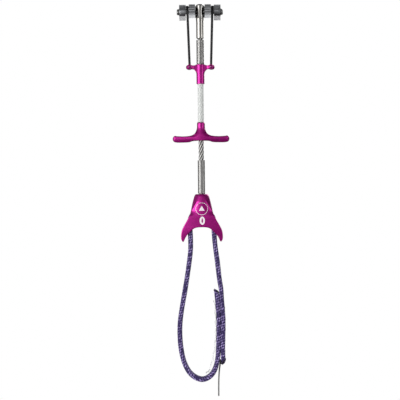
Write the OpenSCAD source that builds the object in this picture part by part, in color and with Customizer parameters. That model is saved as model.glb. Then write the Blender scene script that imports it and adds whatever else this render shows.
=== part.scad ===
// Spring loaded camming device of the smallest finger size: four cams on one axle,
// a wire rope stem, a finger trigger and a sewn webbing sling.
// The origin is the middle of the axle. +X runs along the axle, +Z points up the stem
// and -Y is the side that carries the size mark.

/* [Head] */
// Diameter of the axle
axle_d = 3; // [2.8:0.1:3.1]
// Diameter of the domed rivet heads on the axle
rivet_d = 4.3; // [4:0.1:4.6]
// Width of the terminal where the axle passes through it
head_w = 6; // [5.8:0.1:6.2]
// Height of the terminal's domed top above the axle
head_top = 5.8; // [5:0.1:6.2]
// Depth of the terminal's lower end below the axle
head_bottom = 19.5; // [18:0.5:20]

/* [Cams] */
// Angle of the logarithmic spiral of every cam
cam_angle = 13.25; // [12:0.25:14]
// Spiral radius level with the axle when the cams are open
cam_r = 7.75; // [7.6:0.05:8]
// Width of an inner cam
inner_cam_w = 4.5; // [4.2:0.1:4.6]
// Width of an outer cam
outer_cam_w = 4.8; // [4.5:0.1:5]
// Gap between the two cams of a pair, which holds a spring and two cords
cam_gap = 2.3; // [2.3:0.1:2.6]
// Depth of the grooves in the gripping faces
tooth_depth = 0.32; // [0.1:0.02:0.34]

/* [Trigger] */
// Diameter of the cords that pull the cams
cord_d = 1.7; // [1.5:0.1:1.7]
// Span of the finger trigger from end to end
trigger_span = 41.5; // [38:0.5:44]
// Depth of the finger trigger from front to back
trigger_depth = 9; // [8:0.5:11]
// Outer diameter of the clear tube between the cord slider and the trigger
tube_d = 4.45; // [4.4:0.01:4.5]

/* [Stem] */
// Diameter of the wire rope
cable_d = 3.9; // [3.7:0.1:3.9]
// Outer diameter of the coiled sheath above the cord slider
upper_sheath_d = 5.5; // [5.2:0.1:5.6]
// Outer diameter of the coiled sheath above the thumb rest
lower_sheath_d = 5.2; // [5:0.1:5.4]

/* [Thumb rest] */
// Thickness of the thumb rest's front and back plates
plate_t = 2.5; // [2:0.1:3]

/* [Sling] */
// Width of the sling webbing
web_w = 8; // [7:0.5:8]
// Thickness of the sling webbing
web_t = 3.2; // [2.6:0.1:3.2]

/* [Hidden] */
$fn = 48;

LEFT = -1;
RIGHT = 1;
FRONT = -1; // a cam or cord on the -Y side
BACK = 1; // a cam or cord on the +Y side

steel = "lightgray";
alloy = "darkgray";
magenta = [0.75, 0.08, 0.55];
black_cord = [0.07, 0.07, 0.08];
webbing = [0.28, 0.18, 0.5];

// Places along the axle, from the middle outwards
inner_cam_x = head_w / 2 + 0.5;
gap_x = inner_cam_x + inner_cam_w;
outer_cam_x = gap_x + cam_gap;
axle_shoulder_x = outer_cam_x + outer_cam_w + 0.35;
axle_end_x = axle_shoulder_x + 1.35;
cord_x = gap_x + cam_gap / 2;
running_fit = 0.05;

// Cam shape
spiral_k = tan(cam_angle);
heel_angle = -36;
toe_angle = 110;
hub_r = 3.2;
hub_chamfer = 0.8;
tooth_points = 21;

// Where a cord's end pin sits in its cam's slot
pin_r = 0.45;
pin_orbit = 5.4;
pin_angle = 30;
slot_half_w = 0.98;
slot_inner = 2.92;
slot_outer = 5.9;
slot_depth = 1.5;
pin_reach = 1.2;
ferrule_r = 1.0;

// Cam spring
spring_wire = 0.66;
spring_r = 2.65;
spring_turns = 2;
spring_steps = 18;
leg_orbit = 3.7;
leg_inset = 0.42;

// Heights of the stem and trigger parts
upper_sheath_top = -20.2;
upper_sheath_bottom = -38.25;
slider_top = -38.4;
slider_arm_bottom = -41.4;
slider_bottom = -52.6;
slider_half_span = 10.5;
slider_tube_r = 2.92;
slider_depth = 6.6;
anchor_x = 7.8;
anchor_y = 1.3;
anchor_z = -40.2;
trigger_top = -80.3;
tube_socket = 2;
lower_sheath_top = -108;
body_top = -132.9;
lower_sheath_bottom = body_top + 0.05;
arch_z = -157;
tip_z = -167.5;
channel_top = -144.7;
stop_top = -138.2;
stop_r = 3;
body_depth = web_w + 1 + 2 * plate_t;
saddle_half_w = 6.8;
saddle_top = -149;
saddle_round = 3.2;

// Middle line of the sling as [x, z], from the lower tail, up the right strand, over the
// saddle, down the left strand, round the bottom and up inside the right strand
sling_route = [
    [14.7, -256], [14.4, -246], [14.8, -231.5], [14.8, -222], [13.9, -209], [13.5, -202],
    [12.4, -195], [11, -182], [9.6, -171], [8.9, -162], [8.8, -155.5], [8.3, -150.4],
    [5.6, -147.2], [0, -146.8], [-5.6, -147.2], [-8.3, -150.4], [-8.7, -156], [-8.4, -164],
    [-8.4, -173], [-9.5, -182.5], [-11.4, -195], [-13.4, -206.5], [-15.2, -216.5],
    [-16.5, -226], [-16.8, -235], [-16.1, -245], [-14.1, -254.5], [-10.6, -262],
    [-6, -266.3], [-0.6, -268], [4.6, -266], [8.2, -261.4], [10.3, -254.5], [11.1, -246],
    [11.5, -231.5], [11.5, -222], [10.6, -209], [9.9, -203]
];
// Middle line of the sewn label: flat on the inner face of the sling, then hanging free
label_route = [
    [8.3, -211], [8.9, -217], [9.2, -225], [9.2, -233], [8.8, -241], [8, -247.5],
    [6.9, -253.5], [5.3, -259], [3.7, -262.5], [1.6, -264]
];
label_t = 0.7;
label_w = 7.4;
// Middle line of the care tag, from between the layers of the lap joint down to its fold
tag_route = [[12.6, -254], [12.2, -258], [11.6, -263], [11.2, -270], [11.1, -280.3]];
tag_t = 0.7;
tag_w = 8;

function spiral(angle) = cam_r * exp(-spiral_k * angle * PI / 180);
function at_angle(r, angle) = [r * cos(angle), r * sin(angle)];
function mirrored(points) = [for (i = [len(points) - 1 : -1 : 0]) [-points[i][0], points[i][1]]];

// A smooth curve through a list of points, with the given number of steps between two points
function blend_points(a, b, c, d, t) =
    0.5 * (2 * b + (c - a) * t + (2 * a - 5 * b + 4 * c - d) * t * t
        + (3 * b - a - 3 * c + d) * t * t * t);
function smooth(points, steps) = concat(
    [for (i = [0 : len(points) - 2], s = [0 : steps - 1])
        blend_points(points[max(i - 1, 0)], points[i], points[i + 1],
            points[min(i + 2, len(points) - 1)], s / steps)],
    [points[len(points) - 1]]);

module along_x(x0, x1, r) {
    translate([x0, 0, 0]) rotate([0, 90, 0]) cylinder(h = x1 - x0, r = r);
}

module upright(z0, z1, r) {
    translate([0, 0, z0]) cylinder(h = z1 - z0, r = r);
}

// Turns an outline drawn as [y, z] into a slab between two places on X
module slab_x(x0, x1) {
    translate([x0, 0, 0]) rotate([90, 0, 90]) linear_extrude(height = x1 - x0) children();
}

// Turns an outline drawn as [x, z] into a slab that is centred on Y
module slab_y(depth) {
    translate([0, depth / 2, 0]) rotate([90, 0, 0]) linear_extrude(height = depth) children();
}

module both_sides() {
    for (side = [LEFT, RIGHT]) scale_side(side) children();
}

module scale_side(side) {
    if (side == LEFT) mirror([1, 0, 0]) children();
    else children();
}

module scale_face(face) {
    if (face == FRONT) mirror([0, 1, 0]) children();
    else children();
}

// A flat ribbon with chamfered edges along a route of [x, z] points
module ribbon(route, t, w) {
    chamfer = t * 0.3;
    edge = [
        [t / 2, w / 2 - chamfer], [t / 2 - chamfer, w / 2], [chamfer - t / 2, w / 2],
        [-t / 2, w / 2 - chamfer], [-t / 2, chamfer - w / 2], [chamfer - t / 2, -w / 2],
        [t / 2 - chamfer, -w / 2], [t / 2, chamfer - w / 2]
    ];
    last = len(route) - 1;
    rings = [for (i = [0 : last])
        let (run = route[min(i + 1, last)] - route[max(i - 1, 0)],
            side = [-run[1], run[0]] / norm(run))
        for (e = edge) [route[i][0] + side[0] * e[0], e[1], route[i][1] + side[1] * e[0]]];
    skin = [for (i = [0 : last - 1], k = [0 : 7])
        [i * 8 + k, i * 8 + (k + 1) % 8, (i + 1) * 8 + (k + 1) % 8, (i + 1) * 8 + k]];
    polyhedron(rings, concat(skin, [[7, 6, 5, 4, 3, 2, 1, 0]], [[for (k = [0 : 7]) last * 8 + k]]));
}

module head_terminal() {
    shank_r = 2.75;
    round_r = 0.7;
    dome_h = 1.4;
    color(steel) difference() {
        rotate_extrude() polygon(concat(
            [[0, -head_bottom]],
            [for (a = [-90 : 30 : 0])
                [shank_r - round_r + round_r * cos(a), round_r - head_bottom + round_r * sin(a)]],
            smooth([[shank_r, -7.3], [shank_r + 0.06, -6.4], [head_w / 2 - 0.06, -4.9],
                [head_w / 2, -4]], 2),
            [for (a = [0 : 15 : 90]) [head_w / 2 * cos(a), head_top - dome_h + dome_h * sin(a)]]));
        along_x(-head_w, head_w, axle_d / 2 + 0.02);
        upright(-head_bottom - 1, -8, cable_d / 2 + 0.02);
    }
}

module axle() {
    color(steel) {
        along_x(-axle_shoulder_x, axle_shoulder_x, axle_d / 2);
        both_sides() along_x(axle_shoulder_x, axle_end_x - 0.5, rivet_d / 2);
        both_sides() translate([axle_end_x - 0.5, 0, 0]) rotate([0, 90, 0])
            cylinder(h = 0.5, r1 = rivet_d / 2, r2 = rivet_d / 2 - 0.6);
    }
}

module washer_pair(x0, x1, r) {
    both_sides() difference() {
        along_x(x0, x1, r);
        along_x(x0 - 1, x1 + 1, axle_d / 2 + 0.03);
    }
}

module axle_end_washers() {
    color(steel) washer_pair(outer_cam_x + outer_cam_w + 0.05, axle_shoulder_x - 0.02, 2.5);
}

module spacer_washers() {
    color("dimgray") washer_pair(head_w / 2 + 0.04, inner_cam_x - 0.05, 4.2);
}

// One cam. face says which way it grips. The spring side carries the pin slot and the leg hole.
module cam(side, face, x0, x1, spring_side_x) {
    inward = spring_side_x == x1 ? -1 : 1;
    contact = [for (i = [0 : tooth_points])
        let (angle = heel_angle + (toe_angle - heel_angle) * i / tooth_points)
        at_angle(spiral(angle) - (i % 2) * tooth_depth, angle)];
    heel_side = [[-3.1, 0.8], [-1, -3], [1.2, -3], [3.2, -3.4], [5.8, -5.1]];
    color(alloy) scale_side(side) scale_face(face) difference() {
        union() {
            slab_x(x0, x1) polygon(concat(contact, heel_side));
            along_x(x0, x1 - hub_chamfer, hub_r);
            translate([x1 - hub_chamfer, 0, 0]) rotate([0, 90, 0])
                cylinder(h = hub_chamfer, r1 = hub_r, r2 = hub_r - (inward == 1 ? hub_chamfer : 0));
        }
        along_x(x0 - 1, x1 + 1, axle_d / 2 + running_fit);
        rotate([pin_angle, 0, 0])
            translate([inward == 1 ? x0 - 1 : x1 - slot_depth, slot_inner, -slot_half_w])
            cube([slot_depth + 1, slot_outer - slot_inner, 2 * slot_half_w]);
        translate([0, 0, leg_orbit])
            along_x(spring_side_x - 1.1, spring_side_x + 1.1, spring_wire / 2 + 0.14);
    }
}

module inner_cam(side) {
    cam(side, FRONT, inner_cam_x, gap_x, gap_x);
}

module outer_cam(side) {
    cam(side, BACK, outer_cam_x, outer_cam_x + outer_cam_w, outer_cam_x);
}

// The wound part of a cam spring as one swept tube
module spring_coil(x0, x1) {
    steps = spring_turns * spring_steps;
    sides = 8;
    points = [for (i = [0 : steps])
        let (turn = 90 + 360 * spring_turns * i / steps, x = x0 + (x1 - x0) * i / steps)
        for (k = [0 : sides - 1])
            let (r = spring_r + spring_wire / 2 * cos(k * 360 / sides))
            [x + spring_wire / 2 * sin(k * 360 / sides), r * cos(turn), r * sin(turn)]];
    skin = [for (i = [0 : steps - 1], k = [0 : sides - 1])
        [i * sides + k, i * sides + (k + 1) % sides, (i + 1) * sides + (k + 1) % sides,
            (i + 1) * sides + k]];
    polyhedron(points, concat(skin, [[for (k = [sides - 1 : -1 : 0]) k]],
        [[for (k = [0 : sides - 1]) steps * sides + k]]));
}

module spring_leg(x, reach) {
    translate([x, 0, spring_r]) cylinder(h = leg_orbit - spring_r, r = spring_wire / 2);
    translate([x, 0, leg_orbit]) sphere(r = spring_wire / 2);
    translate([0, 0, leg_orbit]) along_x(min(x, reach), max(x, reach), spring_wire / 2);
}

module cam_spring(side) {
    color(black_cord) scale_side(side) {
        spring_coil(gap_x + leg_inset, outer_cam_x - leg_inset);
        spring_leg(gap_x + leg_inset, gap_x - 0.8);
        spring_leg(outer_cam_x - leg_inset, outer_cam_x + 0.8);
    }
}

// Places a cord or its end along the line from its anchor in the slider to its pin in the cam.
// The children are drawn upright, with the anchor at the origin.
pin_at = [cord_x, pin_orbit * cos(pin_angle), pin_orbit * sin(pin_angle)];
anchor_at = [anchor_x, anchor_y, anchor_z];
cord_run = pin_at - anchor_at;
cord_len = norm(cord_run);
cord_lean_y = -asin(cord_run[1] / cord_len);
cord_lean_x = atan2(cord_run[0], cord_run[2]);
ferrule_len = 3.4;
cord_bar = 1.2;
cord_bar_r = 0.75;

module on_cord(side, face) {
    scale_side(side) scale_face(face) translate(anchor_at)
        rotate([0, cord_lean_x, 0]) rotate([cord_lean_y, 0, 0]) children();
}

// A cord and the cross bar at its lower end, which it swings on inside the slider
module cord(side, face) {
    color(black_cord) {
        on_cord(side, face) upright(0, cord_len - 2.2, cord_d / 2);
        scale_side(side) scale_face(face) translate([0, anchor_y, anchor_z])
            along_x(anchor_x - cord_bar / 2, anchor_x + cord_bar / 2, cord_bar_r);
    }
}

// A swaged ferrule with the cross pin that works in the cam's slot
module cord_end(side, face) {
    reach = face == FRONT ? gap_x - pin_reach : outer_cam_x + pin_reach;
    color("gray") {
        on_cord(side, face) upright(cord_len - 2.15, cord_len - 2.15 + ferrule_len, ferrule_r);
        scale_side(side) scale_face(face) translate([0, pin_at[1], pin_at[2]])
            along_x(min(reach, cord_x), max(reach, cord_x), pin_r);
    }
}

module cord_slider() {
    boss_r = 1.75;
    half = concat([[0, slider_top], [3, slider_top]],
        smooth([[3.4, slider_top - 0.3], [4.7, -39.1], [6.2, -39], [7.8, -38.5], [9.3, -38.8],
            [slider_half_span - 0.2, -39.5], [slider_half_span, -40.3],
            [slider_half_span - 0.35, -41.4], [9.2, -41.9], [7.8, -42], [6.5, -41.6],
            [5, -41.7], [3.9, -42.7], [slider_tube_r + 0.15, -44.1], [slider_tube_r, -45.4]], 2),
        [[0, -45.4]]);
    color(magenta) difference() {
        union() {
            intersection() {
                slab_y(slider_depth) polygon(concat(half, mirrored(half)));
                union() {
                    cube([16, slider_depth, 100], center = true);
                    both_sides() translate([slider_half_span - slider_depth / 2, 0, -50])
                        cylinder(h = 20, r = slider_depth / 2);
                    cube([2 * slider_half_span - slider_depth, slider_depth, 100], center = true);
                }
            }
            upright(slider_bottom, slider_arm_bottom - 1, slider_tube_r);
            both_sides() translate([anchor_x, 0, anchor_z]) rotate([90, 0, 0])
                cylinder(h = slider_depth + 0.6, r = boss_r, center = true);
        }
        upright(slider_bottom - 1, slider_top + 1, cable_d / 2 + 0.1);
        upright(slider_bottom - 1, slider_bottom + tube_socket, tube_d / 2 + 0.02);
        both_sides() for (y = [-anchor_y, anchor_y])
            translate([anchor_x, y, anchor_z]) cylinder(h = 10, r = cord_d / 2 + 0.3);
        both_sides() translate([anchor_x, 0, anchor_z]) rotate([90, 0, 0])
            cylinder(h = slider_depth + 2, r = 1.1, center = true);
    }
}

// Hollow cross pins in the slider's bosses. The lower ends of the cords are held behind them.
module cord_anchors() {
    color("dimgray") both_sides() for (face = [FRONT, BACK])
        translate([anchor_x, face * (slider_depth / 2 - 0.2), anchor_z]) rotate([90, 0, 0])
        difference() {
            cylinder(h = 1, r = 1.08, center = true);
            cylinder(h = 2, r = 0.6, center = true);
        }
}

module pull_tube() {
    color([0.9, 0.9, 0.9, 0.5]) difference() {
        upright(trigger_top - tube_socket, slider_bottom + tube_socket, tube_d / 2);
        upright(trigger_top - tube_socket - 1, slider_bottom + tube_socket + 1, cable_d / 2 + 0.05);
    }
}

module finger_trigger() {
    half_span = trigger_span / 2;
    neck_r = 2.88;
    wing_top = smooth([[neck_r, -83.6], [3.05, -85.2], [3.6, -87], [4.5, -88.6], [5.8, -89.6],
        [8, -90.4], [13, -90.8], [half_span - 2.6, -90.5]], 2);
    wing_end = [for (a = [90 : -22.5 : -90])
        [half_span - 2.2 + 2.2 * cos(a), -92.6 + 2.4 * sin(a)]];
    wing_bottom = smooth([[half_span - 3, -95.1], [half_span - 5, -95.2], [9, -95],
        [6.4, -94.2], [3.5, -93.9], [0, -93.9]], 3);
    half = concat([[0, -83.6]], wing_top, wing_end, wing_bottom);
    color(magenta) difference() {
        union() {
            intersection() {
                slab_y(trigger_depth) polygon(concat(half, mirrored(half)));
                union() {
                    translate([0, 0, -90]) cube([24, trigger_depth, 20], center = true);
                    both_sides() translate([half_span - 9.5, 0, -100])
                        cylinder(h = 20, r = 9.5);
                    translate([0, 0, -90])
                        cube([2 * half_span - 8, trigger_depth - 1.4, 20], center = true);
                }
            }
            upright(-92, trigger_top - 0.9, neck_r);
            translate([0, 0, trigger_top - 0.9]) cylinder(h = 0.9, r1 = neck_r, r2 = neck_r - 0.45);
        }
        upright(-110, -70, cable_d / 2 + 0.1);
        upright(trigger_top - tube_socket, -70, tube_d / 2 + 0.02);
    }
}

module stem_cable() {
    color(steel) upright(channel_top + 0.3, -8.1, cable_d / 2);
}

module sheath(z0, z1, outer_d) {
    color(steel) difference() {
        upright(z0, z1, outer_d / 2);
        upright(z0 - 1, z1 + 1, cable_d / 2 + 0.06);
    }
}

module upper_sheath() {
    sheath(upper_sheath_bottom, upper_sheath_top, upper_sheath_d);
}

module lower_sheath() {
    sheath(lower_sheath_bottom, lower_sheath_top, lower_sheath_d);
}

// Swaged onto the lower end of the wire rope, inside the thumb rest
module cable_stop() {
    color(steel) difference() {
        upright(channel_top + 0.3, stop_top - 0.1, stop_r);
        upright(channel_top, stop_top, cable_d / 2 + 0.02);
    }
}

// A hollow letter A: a round boss that holds the rope end, two plates that the thumb presses
// against, and between them a saddle that the sling wraps over
module thumb_rest() {
    outer_edge = concat(
        smooth([[4.3, body_top], [5.1, -133.9], [6.15, -137.2], [7.05, -140.9], [7.95, -145.2]], 3),
        smooth([[8.3, -146.6], [10.2, -150.9], [12.8, -155.4], [14.6, -159.2], [15.2, -162.8],
            [15.1, -165.6], [14.2, tip_z]], 3));
    inner_edge = smooth([[13.3, tip_z], [11.6, -163.8], [8.8, -160.6], [6.2, -158.2],
        [3.4, -157.2], [0, arch_z]], 3);
    half = concat([[0, body_top]], outer_edge, inner_edge);
    side_half = [[0, body_top], [4.4, body_top], [5.3, -134.5], [6.3, -138],
        [body_depth / 2 - 0.6, -145], [body_depth / 2, -150], [body_depth / 2, tip_z - 1], [0, tip_z - 1]];
    color(magenta) difference() {
        intersection() {
            slab_y(30) polygon(concat(half, mirrored(half)));
            slab_x(-20, 20) polygon(concat(side_half, mirrored(side_half)));
            union() {
                rotate_extrude() polygon([[0, body_top], [4.4, body_top], [5.4, -134.2],
                    [6.5, -136.8], [8, -140.8], [9.7, -145], [12, -148], [16, -151], [0, -151]]);
                translate([0, 0, -162]) cube([40, 40, 22.1], center = true);
            }
        }
        difference() {
            translate([-20, -web_w / 2 - 0.5, tip_z - 2])
                cube([40, web_w + 1, channel_top - tip_z + 2]);
            slab_y(30) {
                translate([-saddle_half_w, arch_z - 5])
                    square([2 * saddle_half_w, saddle_top - saddle_round - arch_z + 5]);
                translate([saddle_round - saddle_half_w, saddle_top - saddle_round - 1])
                    square([2 * (saddle_half_w - saddle_round), saddle_round + 1]);
                for (side = [LEFT, RIGHT])
                    translate([side * (saddle_half_w - saddle_round), saddle_top - saddle_round])
                    circle(r = saddle_round);
            }
        }
        upright(channel_top - 1, body_top + 1, cable_d / 2 + 0.04);
        upright(channel_top - 1, stop_top, stop_r + 0.02);
    }
}

module sling() {
    color(webbing) ribbon(smooth(sling_route, 2), web_t, web_w);
}

module sewn_label() {
    color("white") ribbon(smooth(label_route, 2), label_t, label_w);
}

module care_tag() {
    color("lightgray") ribbon(smooth(tag_route, 3), tag_t, tag_w);
}

head_terminal();
axle();
axle_end_washers();
spacer_washers();
inner_cam(LEFT);  // cam_inner_left
inner_cam(RIGHT);  // cam_inner_right
outer_cam(LEFT);  // cam_outer_left
outer_cam(RIGHT);  // cam_outer_right
cam_spring(LEFT);  // cam_spring_left
cam_spring(RIGHT);  // cam_spring_right
cord(LEFT, FRONT);  // cord_inner_left
cord(RIGHT, FRONT);  // cord_inner_right
cord(LEFT, BACK);  // cord_outer_left
cord(RIGHT, BACK);  // cord_outer_right
cord_end(LEFT, FRONT);  // cord_end_inner_left
cord_end(RIGHT, FRONT);  // cord_end_inner_right
cord_end(LEFT, BACK);  // cord_end_outer_left
cord_end(RIGHT, BACK);  // cord_end_outer_right
cord_slider();
cord_anchors();
pull_tube();
finger_trigger();
stem_cable();
upper_sheath();
lower_sheath();
cable_stop();
thumb_rest();
sling();
sewn_label();
care_tag();
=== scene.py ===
"""Looks of the spring loaded camming device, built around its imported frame.

Everything is in metres in the row frame: +Z up the stem, +X along the axle, and -Y towards
the side with the size mark. The device's own lengths are written in millimetres and multiplied
by MM. The camera, the lights and the floor are placed in metres.
"""

import math
import random

import bmesh
import bpy
from mathutils import Matrix, Vector
from mathutils.bvhtree import BVHTree


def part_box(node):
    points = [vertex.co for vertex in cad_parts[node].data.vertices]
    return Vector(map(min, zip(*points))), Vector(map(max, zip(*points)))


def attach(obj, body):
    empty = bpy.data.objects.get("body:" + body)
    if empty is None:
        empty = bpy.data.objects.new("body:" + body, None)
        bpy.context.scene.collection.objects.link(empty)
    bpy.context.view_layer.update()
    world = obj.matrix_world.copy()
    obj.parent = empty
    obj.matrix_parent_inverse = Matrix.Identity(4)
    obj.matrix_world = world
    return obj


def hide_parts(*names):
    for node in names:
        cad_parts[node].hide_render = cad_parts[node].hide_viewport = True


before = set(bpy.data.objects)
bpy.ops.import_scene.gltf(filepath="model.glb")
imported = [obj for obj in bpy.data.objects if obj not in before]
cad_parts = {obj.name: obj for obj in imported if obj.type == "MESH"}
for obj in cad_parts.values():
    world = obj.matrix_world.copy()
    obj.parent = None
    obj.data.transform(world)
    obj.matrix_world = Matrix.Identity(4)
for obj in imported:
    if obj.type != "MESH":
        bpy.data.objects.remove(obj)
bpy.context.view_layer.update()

MM = 0.001
TURN = 2 * math.pi
YARN_LENGTH, YARN_WIDTH = 2.1, 1.7
YARN_PITCHES = (1.4, 0.8)
SIDES = {"left": -1, "right": 1}
CAM_FACES = {"inner": -1, "outer": 1}
random.seed(7)


# ---------------------------------------------------------------- camera, lights and stage


def aim(obj, target, roll=0.0):
    """Points a camera or a light at a target."""
    direction = Vector(target) - obj.location
    turned = direction.to_track_quat("-Z", "Y").to_matrix() @ Matrix.Rotation(roll, 3, "Z")
    obj.rotation_euler = turned.to_euler()


def add_camera():
    """A long lens at the height of the stem's middle, with the whole device in view."""
    distance = 1.1
    view_size = 0.292
    middle = Vector((-0.0012, 0, -0.1372))
    data = bpy.data.cameras.new("camera")
    data.sensor_width = 36
    data.lens = data.sensor_width * distance / view_size
    camera = bpy.data.objects.new("camera", data)
    bpy.context.scene.collection.objects.link(camera)
    camera.location = middle - Vector((0, distance, 0))
    aim(camera, middle, roll=-0.0097)
    bpy.context.scene.camera = camera


def add_softbox(name, place, size, power, glossy=True):
    """A rectangular light that the camera doesn't see. Without glossy, metal doesn't show it either."""
    data = bpy.data.lights.new(name, "AREA")
    data.shape = "RECTANGLE"
    data.size, data.size_y = size
    data.energy = power
    light = bpy.data.objects.new(name, data)
    bpy.context.scene.collection.objects.link(light)
    light.location = place
    light.visible_camera = False
    light.visible_glossy = glossy
    aim(light, (0, 0, -0.13))


# Grey levels of the studio that metal reflects, by the direction's x, y and z from -1 to 1
WORLD_SIDE = [(-1, 1.05), (-0.25, 1.5), (0.12, 0.6), (1, 0.4)]
WORLD_DEPTH = [(-1, 0.28), (-0.9, 0.32), (-0.3, 0.3), (0.1, 0.08), (0.8, 0.08), (1, 0.26)]
WORLD_HEIGHT = [(-1, 0.12), (-0.45, 0.3), (0, 0.7), (0.4, 1.1), (0.65, 0.5), (0.9, 0.15)]
WORLD_STRENGTH = 1.5
FLOOR_Z = -0.47
FLOOR_SIZE = 1.5


def add_stage():
    """White surroundings for the camera, a dim studio for reflections, and a pale floor."""
    world = bpy.data.worlds.new("studio")
    bpy.context.scene.world = world
    world.use_nodes = True
    nodes, links = world.node_tree.nodes, world.node_tree.links

    def add(kind, *inputs):
        node = nodes.new("ShaderNode" + kind)
        for socket, value in zip(node.inputs, inputs):
            if isinstance(value, bpy.types.NodeSocket):
                links.new(value, socket)
            else:
                socket.default_value = value
        return node

    def brightness(axis, stops):
        """Grey level by one coordinate of the direction, from -1 to 1."""
        ramp = add("ValToRGB", add("MapRange", axis, -1.0, 1.0).outputs[0])
        line = ramp.color_ramp
        while len(line.elements) < len(stops):
            line.elements.new(0.5)
        for element, (at, level) in zip(line.elements, stops):
            element.position = (at + 1) / 2
            element.color = (level, level, level, 1)
        return ramp.outputs[0]

    def product(first, second):
        node = add("Math", first, second)
        node.operation = "MULTIPLY"
        return node.outputs[0]

    split = add("SeparateXYZ", nodes.new("ShaderNodeTexCoord").outputs["Generated"])
    side = brightness(split.outputs[0], WORLD_SIDE)
    depth = brightness(split.outputs[1], WORLD_DEPTH)
    height = brightness(split.outputs[2], WORLD_HEIGHT)
    dim = nodes["Background"]
    dim.inputs["Color"].default_value = (0.97, 0.98, 1.0, 1)
    level = product(product(depth, height), side)
    links.new(product(level, WORLD_STRENGTH), dim.inputs["Strength"])
    white = add("Background", (1, 1, 1, 1), 1.0)
    seen = nodes.new("ShaderNodeLightPath").outputs["Is Camera Ray"]
    mix = add("MixShader", seen, dim.outputs[0], white.outputs[0])
    links.new(mix.outputs[0], nodes["World Output"].inputs["Surface"])

    bpy.ops.mesh.primitive_plane_add(size=FLOOR_SIZE, location=(0, 0, FLOOR_Z))
    floor = bpy.context.object
    floor.name = "floor"
    floor.data.materials.append(floor_paper().data)
    floor.visible_glossy = False

    add_softbox("softbox_left", (-0.64, -0.47, -0.12), (0.76, 0.54), 3.1)
    add_softbox("softbox_right", (0.68, -0.4, -0.12), (0.5, 0.54), 1.0)
    add_softbox("fill_front", (-0.5, -0.9, 0.2), (1.0, 1.0), 3.6, glossy=False)
    add_softbox("softbox_back", (0.45, 0.75, 0.35), (0.5, 0.7), 2.6)
    bpy.context.scene.view_settings.view_transform = "Standard"


# ---------------------------------------------------------------- materials


class Finish:
    """A Principled material, with short ways to add procedural detail to it."""

    def __init__(self, name, **sockets):
        self.data = bpy.data.materials.new(name)
        self.data.use_nodes = True
        self.nodes = self.data.node_tree.nodes
        self.links = self.data.node_tree.links
        self.shader = self.nodes["Principled BSDF"]
        for socket, value in sockets.items():
            self.set(socket, value)

    def set(self, socket, value):
        """Sets one of the shader's own sockets to a number, or to a colour of three numbers."""
        self.shader.inputs[socket].default_value = (*value, 1) if isinstance(value, tuple) else value

    def add(self, kind, **inputs):
        """Adds a node. Its inputs are given by name, or as in0, in1 and so on by their place."""
        node = self.nodes.new("ShaderNode" + kind)
        for name, value in inputs.items():
            self.feed(node.inputs[int(name[2:]) if name.startswith("in") else name], value)
        return node

    def feed(self, socket, value):
        if isinstance(value, bpy.types.NodeSocket):
            self.links.new(value, socket)
        else:
            socket.default_value = value

    def math(self, operation, a, b=0.0, clamp=False):
        node = self.add("Math", in0=a, in1=b)
        node.operation = operation
        node.use_clamp = clamp
        return node.outputs[0]

    def place(self, stretch=(1, 1, 1)):
        """The row frame's coordinates in millimetres, stretched."""
        where = self.add("TexCoord").outputs["Object"]
        scale = tuple(s / MM for s in stretch)
        return self.add("Mapping", Vector=where, Scale=scale).outputs[0]

    def noise(self, scale, detail, stretch=(1, 1, 1)):
        place = self.place(stretch)
        return self.add("TexNoise", Vector=place, Scale=scale, Detail=detail, Roughness=0.55).outputs[0]

    def ramp(self, value, stops):
        """Maps a value to a colour or a grey level, by (position, colour or level) stops."""
        node = self.add("ValToRGB", Fac=value)
        line = node.color_ramp
        while len(line.elements) < len(stops):
            line.elements.new(0.5)
        for element, (at, colour) in zip(line.elements, stops):
            element.position = at
            element.color = (*colour, 1) if isinstance(colour, tuple) else (colour,) * 3 + (1,)
        return node.outputs[0]

    def band(self, value, low, high):
        """0 where a value is low, 1 where it is high, and straight between them."""
        return self.add("MapRange", in0=value, in1=low, in2=high).outputs[0]

    def mix(self, amount, first, second):
        """A blend of two colours."""
        node = self.nodes.new("ShaderNodeMix")
        node.data_type = "RGBA"
        self.feed(node.inputs["Factor"], amount)
        for name, value in (("A", first), ("B", second)):
            socket = [s for s in node.inputs if s.name == name and s.type == "RGBA"][0]
            self.feed(socket, (*value, 1) if isinstance(value, tuple) else value)
        return [s for s in node.outputs if s.type == "RGBA"][0]

    def relief(self, height, depth):
        """Bump, its depth in millimetres."""
        node = self.add("Bump", Height=height, Distance=depth * MM, Strength=1.0)
        self.links.new(node.outputs[0], self.shader.inputs["Normal"])

    def paint(self, socket, value):
        self.links.new(value, self.shader.inputs[socket])

    def painted(self, socket):
        """What is linked to one of the shader's sockets."""
        return self.shader.inputs[socket].links[0].from_socket


def floor_paper():
    """Pale paper, lit a little from within so that its far corners stay pale."""
    finish = Finish("floor_paper", Roughness=0.9)
    cloud = finish.noise(0.02, 2)
    finish.paint("Base Color", finish.ramp(cloud, [(0.3, 0.8536), (0.7, 0.88)]))
    finish.set("Emission Color", (1, 1, 1))
    finish.set("Emission Strength", 0.3)
    return finish


def metal(name, light, dark, rough, grain=(1, 1, 1), grain_scale=3.0, grain_depth=0.006):
    """Bare or anodised metal: its colour wanders a little, and a fine grain breaks its gloss."""
    finish = Finish(name, Metallic=1.0)
    cloud = finish.noise(0.5, 4)
    finish.paint("Base Color", finish.ramp(cloud, [(0.3, dark), (0.7, light)]))
    scratch = finish.noise(grain_scale, 4, grain)
    finish.paint("Roughness", finish.ramp(scratch, [(0.3, rough[0]), (0.75, rough[1])]))
    finish.relief(scratch, grain_depth)
    return finish


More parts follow.
